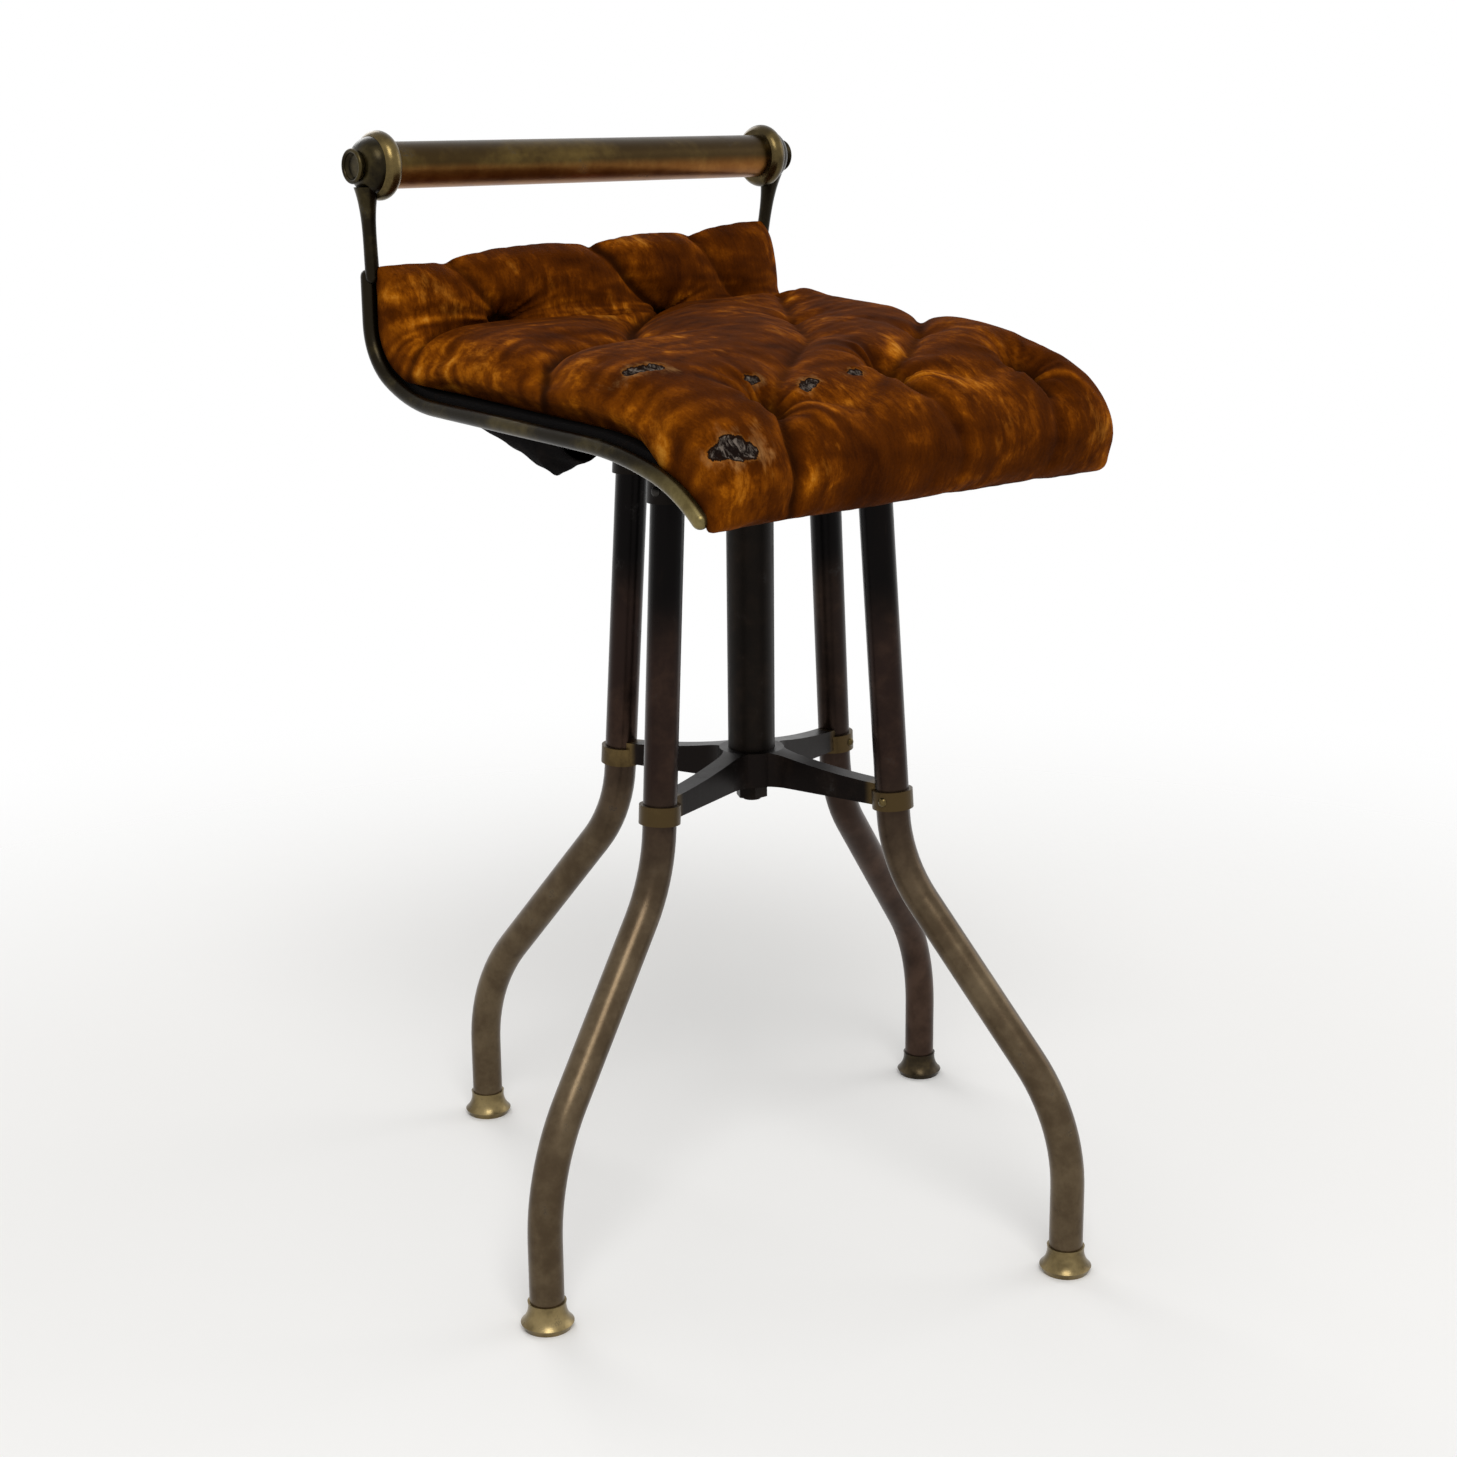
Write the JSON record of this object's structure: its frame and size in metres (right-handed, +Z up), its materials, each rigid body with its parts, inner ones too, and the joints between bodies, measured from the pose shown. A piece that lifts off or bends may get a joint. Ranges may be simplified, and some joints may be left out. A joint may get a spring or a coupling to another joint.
{
  "type": "piano stool",
  "caption": "Revolving piano stool: splayed tube legs round a screw column carry a tufted, S-curved seat with a low handrail; turning the seat raises it.",
  "frame": {"origin": "on the column's axis, at the floor", "axes": "+Z up; the seat faces -Y and its handrail lies along X; the legs stand at 15 degrees to X and Y"},
  "size_m": [0.5034, 0.5034, 0.7332],
  "materials": {
    "brass_dark": "dark brown patina, rubbed lighter on the lower legs",
    "brass_foot": "rubbed bright",
    "brass_rail": "olive patina with bright edges",
    "brass_bush": "machined, oiled",
    "iron": "blackened, as cast",
    "steel": "turned, oiled",
    "board": "bent board, stained black",
    "velvet": "worn rust-brown velvet, tufted",
    "lining": "black lining cloth"
  },
  "bodies": {
    "base": {"leg_right": "brass_dark", "leg_back": "brass_dark", "leg_left": "brass_dark", "leg_front": "brass_dark", "foot_right": "brass_foot", "foot_back": "brass_foot", "foot_left": "brass_foot", "foot_front": "brass_foot", "stretcher_spider": "brass_dark", "ring_pins": "brass_dark", "column_tube": "brass_dark", "column_plug": "brass_bush", "stud_nut": "steel", "crown": "iron", "crown_pins": "iron", "column_nut": "brass_bush"},
    "guide": {"guide_bush": "brass_bush"},
    "seat": {"side_rail_left": "brass_rail", "side_rail_right": "brass_rail", "handrail_tube": "brass_rail", "handrail_collar_left": "brass_rail", "handrail_collar_right": "brass_rail", "end_cup_left": "brass_rail", "end_cup_right": "brass_rail", "seat_plate": "iron", "screw_spindle": "steel", "spindle_pin": "steel", "end_washer": "steel", "end_nut": "steel", "plate_screws": "steel", "lug_screws": "steel", "tie_rod": "steel", "seat_board": "board", "seat_pad": "velvet", "lining_left": "lining", "lining_right": "lining"}
  },
  "joints": [
    {"name": "seat_rise", "type": "slide", "parent": "base", "child": "guide", "axis": [0, 0, 1], "range_m": [-0.0041, 0.0881]},
    {"name": "seat_turn", "type": "hinge", "parent": "guide", "child": "seat", "pos_m": [0, 0, 0.54], "axis": [0, 0, 1], "range_deg": [-180, 3960]}
  ],
  "couplings": [
    {"joint": "seat_rise", "follows": "seat_turn", "m_per_rad": 0.0012732}
  ]
}
